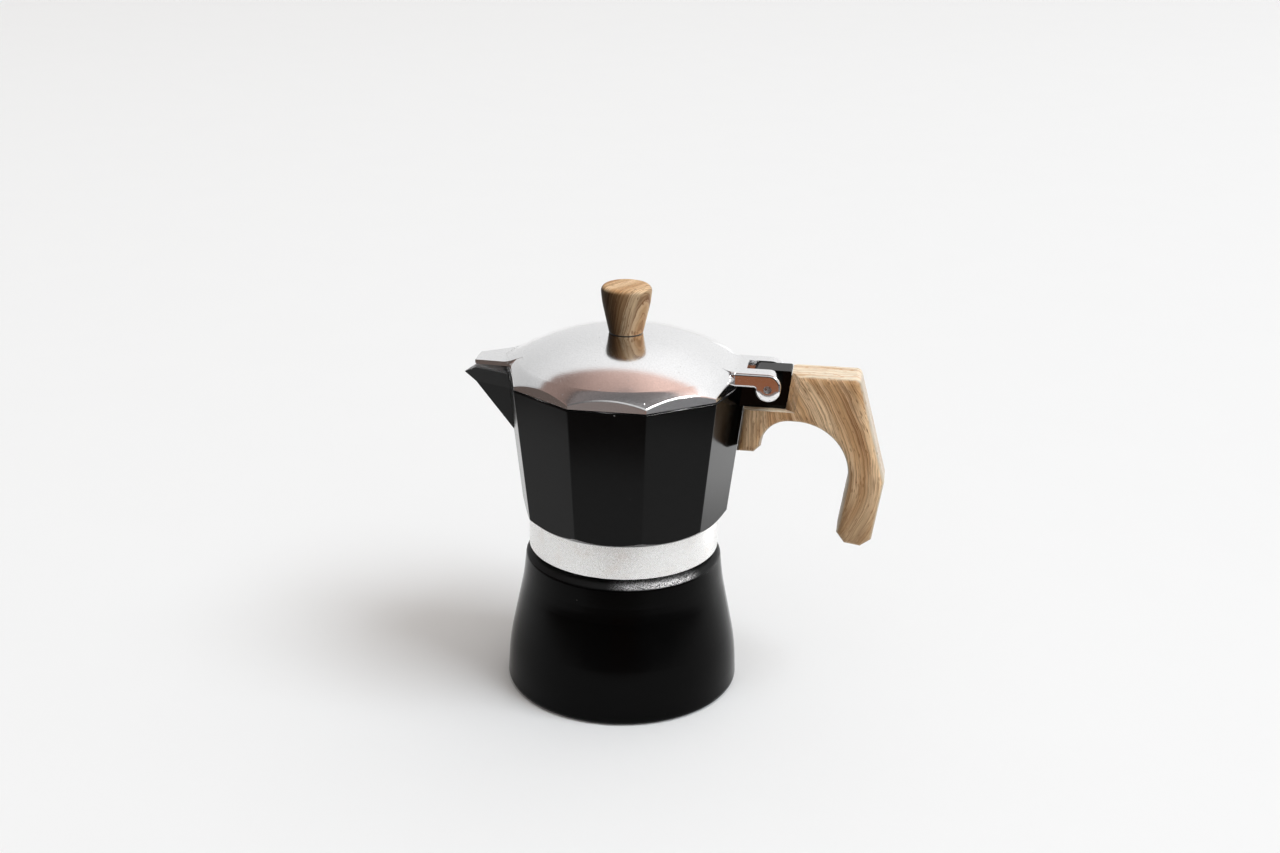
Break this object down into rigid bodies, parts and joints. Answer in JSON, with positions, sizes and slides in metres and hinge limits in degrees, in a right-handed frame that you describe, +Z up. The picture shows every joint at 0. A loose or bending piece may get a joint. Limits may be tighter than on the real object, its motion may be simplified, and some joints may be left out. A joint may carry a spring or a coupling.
{
  "type": "moka pot",
  "caption": "Stovetop coffee pot: round black boiler, faceted black collector screwed on top with a spout, polished hinged lid, and wood-effect knob and handle.",
  "frame": {"origin": "centre of the boiler's flat base, on the pot's upright axis", "axes": "+Z up along the pot's axis and the screw thread, +X towards the handle and the lid's hinge, -X towards the spout, +Y towards the safety valve at the back"},
  "size_m": [0.1623, 0.0973, 0.1614],
  "materials": {
    "black_paint": "satin black paint, with the collector's band and inside left as bare machined aluminium",
    "polished_aluminium": "polished, with a fine grain",
    "bare_aluminium": "plain pressed or turned",
    "wood_effect": "satin wood-grain print over moulded plastic",
    "black_plastic": "matt",
    "brass": "turned",
    "steel": "plain",
    "pale_rubber": "matt",
    "dark_rubber": "matt"
  },
  "bodies": {
    "boiler": {"boiler": "black_paint", "funnel": "bare_aluminium", "funnel_screen": "bare_aluminium", "valve_body": "brass", "valve_washer": "dark_rubber", "valve_spring": "steel", "valve_cap": "brass"},
    "plunger": {"valve_plunger": "steel", "valve_seal": "dark_rubber"},
    "filter_set": {"gasket": "pale_rubber", "filter_plate": "bare_aluminium"},
    "collector": {"collector": "black_paint", "riser_column": "bare_aluminium", "handle": "wood_effect", "handle_washer": "steel", "handle_screw": "steel"},
    "lid": {"lid": "polished_aluminium", "knob": "wood_effect", "knob_washer": "black_plastic", "knob_screw": "steel", "hinge_pin": "steel"}
  },
  "joints": [
    {"name": "collector_rise", "type": "slide", "parent": "boiler", "child": "filter_set", "axis": [0, 0, 1], "range_m": [0, 0.0098]},
    {"name": "collector_unscrew", "type": "hinge", "parent": "filter_set", "child": "collector", "pos_m": [0, 0, 0.062], "axis": [0, 0, 1], "range_deg": [0, 1170]},
    {"name": "lid_hinge", "type": "hinge", "parent": "collector", "child": "lid", "pos_m": [0.0548, 0, 0.1272], "axis": [0, 1, 0], "range_deg": [0, 105]},
    {"name": "valve_plunger_slide", "type": "slide", "parent": "boiler", "child": "plunger", "axis": [0, 1, 0], "range_m": [0, 0.002], "stiffness_N_per_m": 600, "springref_m": -0.003, "deforming": ["valve_spring"]}
  ],
  "couplings": [
    {"joint": "collector_rise", "follows": "collector_unscrew", "m_per_rad": 0.00047746}
  ]
}
